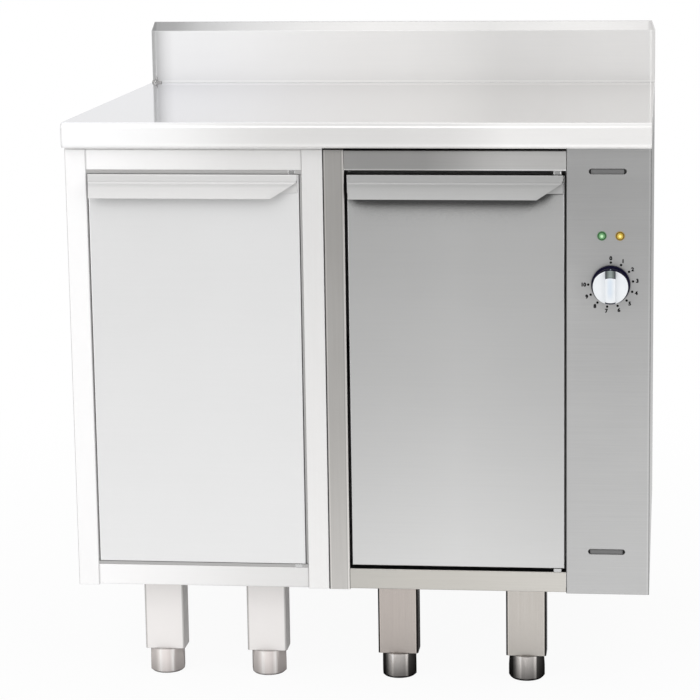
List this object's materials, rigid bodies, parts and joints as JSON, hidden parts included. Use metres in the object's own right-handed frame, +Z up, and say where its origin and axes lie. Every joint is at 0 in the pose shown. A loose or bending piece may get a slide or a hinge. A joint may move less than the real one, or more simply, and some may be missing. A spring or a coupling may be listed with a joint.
{
  "type": "plate warmer cabinet",
  "caption": "Free-standing steel catering cabinet: worktop with rear upstand over a plain cupboard and a heated plate chamber, hinged doors with folded grips, dial and adjustable feet.",
  "frame": {"origin": "on the floor, under the centre of the whole cabinet's bounding box", "axes": "+Z up, +X to the right as the front is faced, +Y to the rear, so the doors and controls face -Y"},
  "size_m": [0.9, 0.706, 1.008],
  "materials": {
    "pale_steel": "satin sheet, pale",
    "grey_steel": "brushed sheet, grain across",
    "leg_steel": "brushed tube",
    "foot_steel": "turned",
    "inner_steel": "mill-finish sheet",
    "bright_steel": "bright turned",
    "element_steel": "dark oxidised",
    "copper": "drawn tube",
    "mineral_wool": "fibrous slab",
    "board": "raw board",
    "silicone": "matt",
    "black_plastic": "matt",
    "navy_plastic": "satin, very dark blue",
    "white_plastic": "satin, cool white",
    "grey_plastic": "satin grey",
    "green_lens": "translucent green",
    "yellow_lens": "translucent yellow"
  },
  "bodies": {
    "cabinet": {"cable_gland": "black_plastic", "chamber_insulation": "mineral_wool", "chamber_liner": "inner_steel", "control_bracket": "inner_steel", "control_panel": "grey_steel", "control_partition": "inner_steel", "cupboard_back": "inner_steel", "cupboard_floor": "inner_steel", "cupboard_posts": "pale_steel", "cupboard_rails": "pale_steel", "cupboard_shelf": "inner_steel", "cupboard_side_panels": "inner_steel", "door_magnets": "black_plastic", "element_cover": "inner_steel", "heating_element": "element_steel", "hinge_bushes": "bright_steel", "hot_back": "inner_steel", "hot_floor": "inner_steel", "hot_post": "grey_steel", "hot_rails": "grey_steel", "hot_side_panels": "inner_steel", "lamp_bodies": "black_plastic", "lamp_lens_green": "green_lens", "lamp_lens_yellow": "yellow_lens", "leg_plates": "inner_steel", "leg_tubes": "leg_steel", "plate_shelves": "inner_steel", "safety_cutout": "black_plastic", "sensing_bulb": "copper", "shelf_rails": "inner_steel", "shelf_uprights": "inner_steel", "slot_baffles": "grey_steel", "terminal_block": "black_plastic", "thermostat": "black_plastic", "wiring_loom": "black_plastic", "worktop": "pale_steel", "worktop_core": "board"},
    "left_door": {"left_door_core": "board", "left_door_grip": "pale_steel", "left_door_liner": "inner_steel", "left_door_pins": "bright_steel", "left_door_skin": "pale_steel"},
    "right_door": {"right_door_core": "mineral_wool", "right_door_gasket": "silicone", "right_door_grip": "grey_steel", "right_door_liner": "inner_steel", "right_door_pins": "bright_steel", "right_door_skin": "grey_steel"},
    "control_knob": {"knob_cap": "white_plastic", "knob_pointer": "grey_plastic", "knob_skirt": "navy_plastic", "knob_spindle": "bright_steel"},
    "front_foot_1": {"foot_front_1": "foot_steel"},
    "front_foot_2": {"foot_front_2": "foot_steel"},
    "front_foot_3": {"foot_front_3": "foot_steel"},
    "front_foot_4": {"foot_front_4": "foot_steel"},
    "rear_foot_1": {"foot_rear_1": "foot_steel"},
    "rear_foot_2": {"foot_rear_2": "foot_steel"},
    "rear_foot_3": {"foot_rear_3": "foot_steel"},
    "rear_foot_4": {"foot_rear_4": "foot_steel"}
  },
  "joints": [
    {"name": "left_door_hinge", "type": "hinge", "parent": "cabinet", "child": "left_door", "pos_m": [-0.098, -0.3226, 0.5], "axis": [0, 0, 1], "range_deg": [0, 90]},
    {"name": "right_door_hinge", "type": "hinge", "parent": "cabinet", "child": "right_door", "pos_m": [0.308, -0.3226, 0.5], "axis": [0, 0, 1], "range_deg": [0, 90]},
    {"name": "knob_turn", "type": "hinge", "parent": "cabinet", "child": "control_knob", "pos_m": [0.389, -0.327, 0.652], "axis": [0, 1, 0], "range_deg": [0, 270]},
    {"name": "front_foot_1_screw", "type": "slide", "parent": "cabinet", "child": "front_foot_1", "axis": [0, 0, -1], "range_m": [0, 0.03]},
    {"name": "front_foot_2_screw", "type": "slide", "parent": "cabinet", "child": "front_foot_2", "axis": [0, 0, -1], "range_m": [0, 0.03]},
    {"name": "front_foot_3_screw", "type": "slide", "parent": "cabinet", "child": "front_foot_3", "axis": [0, 0, -1], "range_m": [0, 0.03]},
    {"name": "front_foot_4_screw", "type": "slide", "parent": "cabinet", "child": "front_foot_4", "axis": [0, 0, -1], "range_m": [0, 0.03]},
    {"name": "rear_foot_1_screw", "type": "slide", "parent": "cabinet", "child": "rear_foot_1", "axis": [0, 0, -1], "range_m": [0, 0.03]},
    {"name": "rear_foot_2_screw", "type": "slide", "parent": "cabinet", "child": "rear_foot_2", "axis": [0, 0, -1], "range_m": [0, 0.03]},
    {"name": "rear_foot_3_screw", "type": "slide", "parent": "cabinet", "child": "rear_foot_3", "axis": [0, 0, -1], "range_m": [0, 0.03]},
    {"name": "rear_foot_4_screw", "type": "slide", "parent": "cabinet", "child": "rear_foot_4", "axis": [0, 0, -1], "range_m": [0, 0.03]}
  ]
}
